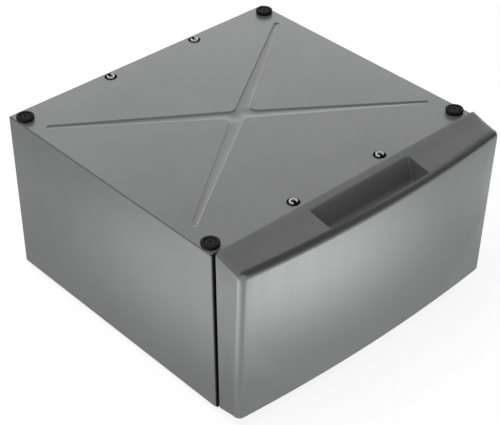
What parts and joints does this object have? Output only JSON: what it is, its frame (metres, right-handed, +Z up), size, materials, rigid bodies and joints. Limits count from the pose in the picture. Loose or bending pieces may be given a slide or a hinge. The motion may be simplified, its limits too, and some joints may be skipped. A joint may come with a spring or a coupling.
{
  "type": "laundry pedestal drawer",
  "caption": "Steel pedestal for a washing machine, with a deep drawer on ball slides, a bowed metal front with a finger scoop, rubber pads on top and levelling feet.",
  "frame": {"origin": "on the floor under the levelling feet, in the middle of the footprint", "axes": "+X to the right seen from the front, +Y to the back, +Z up; the drawer opens towards -Y"},
  "size_m": [0.686, 0.7164, 0.3902],
  "materials": {
    "grey_paint": "satin",
    "front_plastic": "satin",
    "front_metal": "brushed",
    "rubber": "matte",
    "black_plastic": "satin",
    "white_plastic": "satin",
    "galvanised_steel": "satin",
    "levelling_foot": "satin",
    "box_steel": "satin",
    "zinc_plate": "satin",
    "zinc_screws": "satin"
  },
  "bodies": {
    "cabinet": {"top_plate": "grey_paint", "side_panel_left": "grey_paint", "side_panel_right": "grey_paint", "back_panel": "grey_paint", "front_seal": "rubber", "top_rail": "galvanised_steel", "base_rail_front": "galvanised_steel", "base_rail_rear": "galvanised_steel", "corner_post_front_left": "galvanised_steel", "corner_post_front_right": "galvanised_steel", "corner_post_rear_left": "galvanised_steel", "corner_post_rear_right": "galvanised_steel", "foot_bracket_front_left": "galvanised_steel", "foot_bracket_front_right": "galvanised_steel", "foot_bracket_rear_left": "galvanised_steel", "foot_bracket_rear_right": "galvanised_steel", "lock_nuts": "zinc_screws", "pad_front_left": "rubber", "pad_front_right": "rubber", "pad_rear_left": "rubber", "pad_rear_right": "rubber", "bolt_cup_front_left": "black_plastic", "bolt_cup_front_right": "black_plastic", "bolt_cup_rear_left": "black_plastic", "bolt_cup_rear_right": "black_plastic", "retainer_front_left": "white_plastic", "retainer_front_right": "white_plastic", "retainer_rear_left": "white_plastic", "retainer_rear_right": "white_plastic", "slide_carrier_left": "galvanised_steel", "slide_carrier_right": "galvanised_steel", "slide_outer_left": "zinc_plate", "slide_outer_right": "zinc_plate", "back_screws": "zinc_screws"},
    "drawer": {"slide_inner_left": "zinc_plate", "slide_inner_right": "zinc_plate", "drawer_front": "front_plastic", "front_skin": "front_metal", "front_backing": "galvanised_steel", "box_side_left": "box_steel", "box_side_right": "box_steel", "box_back": "box_steel", "box_floor": "box_steel", "front_bumpers": "rubber", "box_screws": "zinc_screws", "front_screws": "zinc_screws"},
    "middle_slide_left": {"slide_middle_left": "zinc_plate"},
    "outer_cage_left": {"outer_ball_cage_left": "zinc_plate"},
    "inner_cage_left": {"inner_ball_cage_left": "zinc_plate"},
    "middle_slide_right": {"slide_middle_right": "zinc_plate"},
    "outer_cage_right": {"outer_ball_cage_right": "zinc_plate"},
    "inner_cage_right": {"inner_ball_cage_right": "zinc_plate"},
    "foot_front_left": {"foot_front_left": "levelling_foot"},
    "foot_front_right": {"foot_front_right": "levelling_foot"},
    "foot_rear_left": {"foot_rear_left": "levelling_foot"},
    "foot_rear_right": {"foot_rear_right": "levelling_foot"}
  },
  "joints": [
    {"name": "drawer_slide", "type": "slide", "parent": "cabinet", "child": "drawer", "axis": [0, -1, 0], "range_m": [0, 0.45]},
    {"name": "middle_slide_left", "type": "slide", "parent": "cabinet", "child": "middle_slide_left", "axis": [0, -1, 0], "range_m": [0, 0.225]},
    {"name": "outer_cage_left", "type": "slide", "parent": "cabinet", "child": "outer_cage_left", "axis": [0, -1, 0], "range_m": [0, 0.1125]},
    {"name": "inner_cage_left", "type": "slide", "parent": "middle_slide_left", "child": "inner_cage_left", "axis": [0, -1, 0], "range_m": [0, 0.1125]},
    {"name": "middle_slide_right", "type": "slide", "parent": "cabinet", "child": "middle_slide_right", "axis": [0, -1, 0], "range_m": [0, 0.225]},
    {"name": "outer_cage_right", "type": "slide", "parent": "cabinet", "child": "outer_cage_right", "axis": [0, -1, 0], "range_m": [0, 0.1125]},
    {"name": "inner_cage_right", "type": "slide", "parent": "middle_slide_right", "child": "inner_cage_right", "axis": [0, -1, 0], "range_m": [0, 0.1125]},
    {"name": "foot_front_left_screw", "type": "slide", "parent": "cabinet", "child": "foot_front_left", "axis": [0, 0, -1], "range_m": [0, 0.015]},
    {"name": "foot_front_right_screw", "type": "slide", "parent": "cabinet", "child": "foot_front_right", "axis": [0, 0, -1], "range_m": [0, 0.015]},
    {"name": "foot_rear_left_screw", "type": "slide", "parent": "cabinet", "child": "foot_rear_left", "axis": [0, 0, -1], "range_m": [0, 0.015]},
    {"name": "foot_rear_right_screw", "type": "slide", "parent": "cabinet", "child": "foot_rear_right", "axis": [0, 0, -1], "range_m": [0, 0.015]}
  ],
  "couplings": [
    {"joint": "middle_slide_left", "follows": "drawer_slide", "ratio": 0.5},
    {"joint": "outer_cage_left", "follows": "drawer_slide", "ratio": 0.25},
    {"joint": "inner_cage_left", "follows": "drawer_slide", "ratio": 0.25},
    {"joint": "middle_slide_right", "follows": "drawer_slide", "ratio": 0.5},
    {"joint": "outer_cage_right", "follows": "drawer_slide", "ratio": 0.25},
    {"joint": "inner_cage_right", "follows": "drawer_slide", "ratio": 0.25}
  ]
}
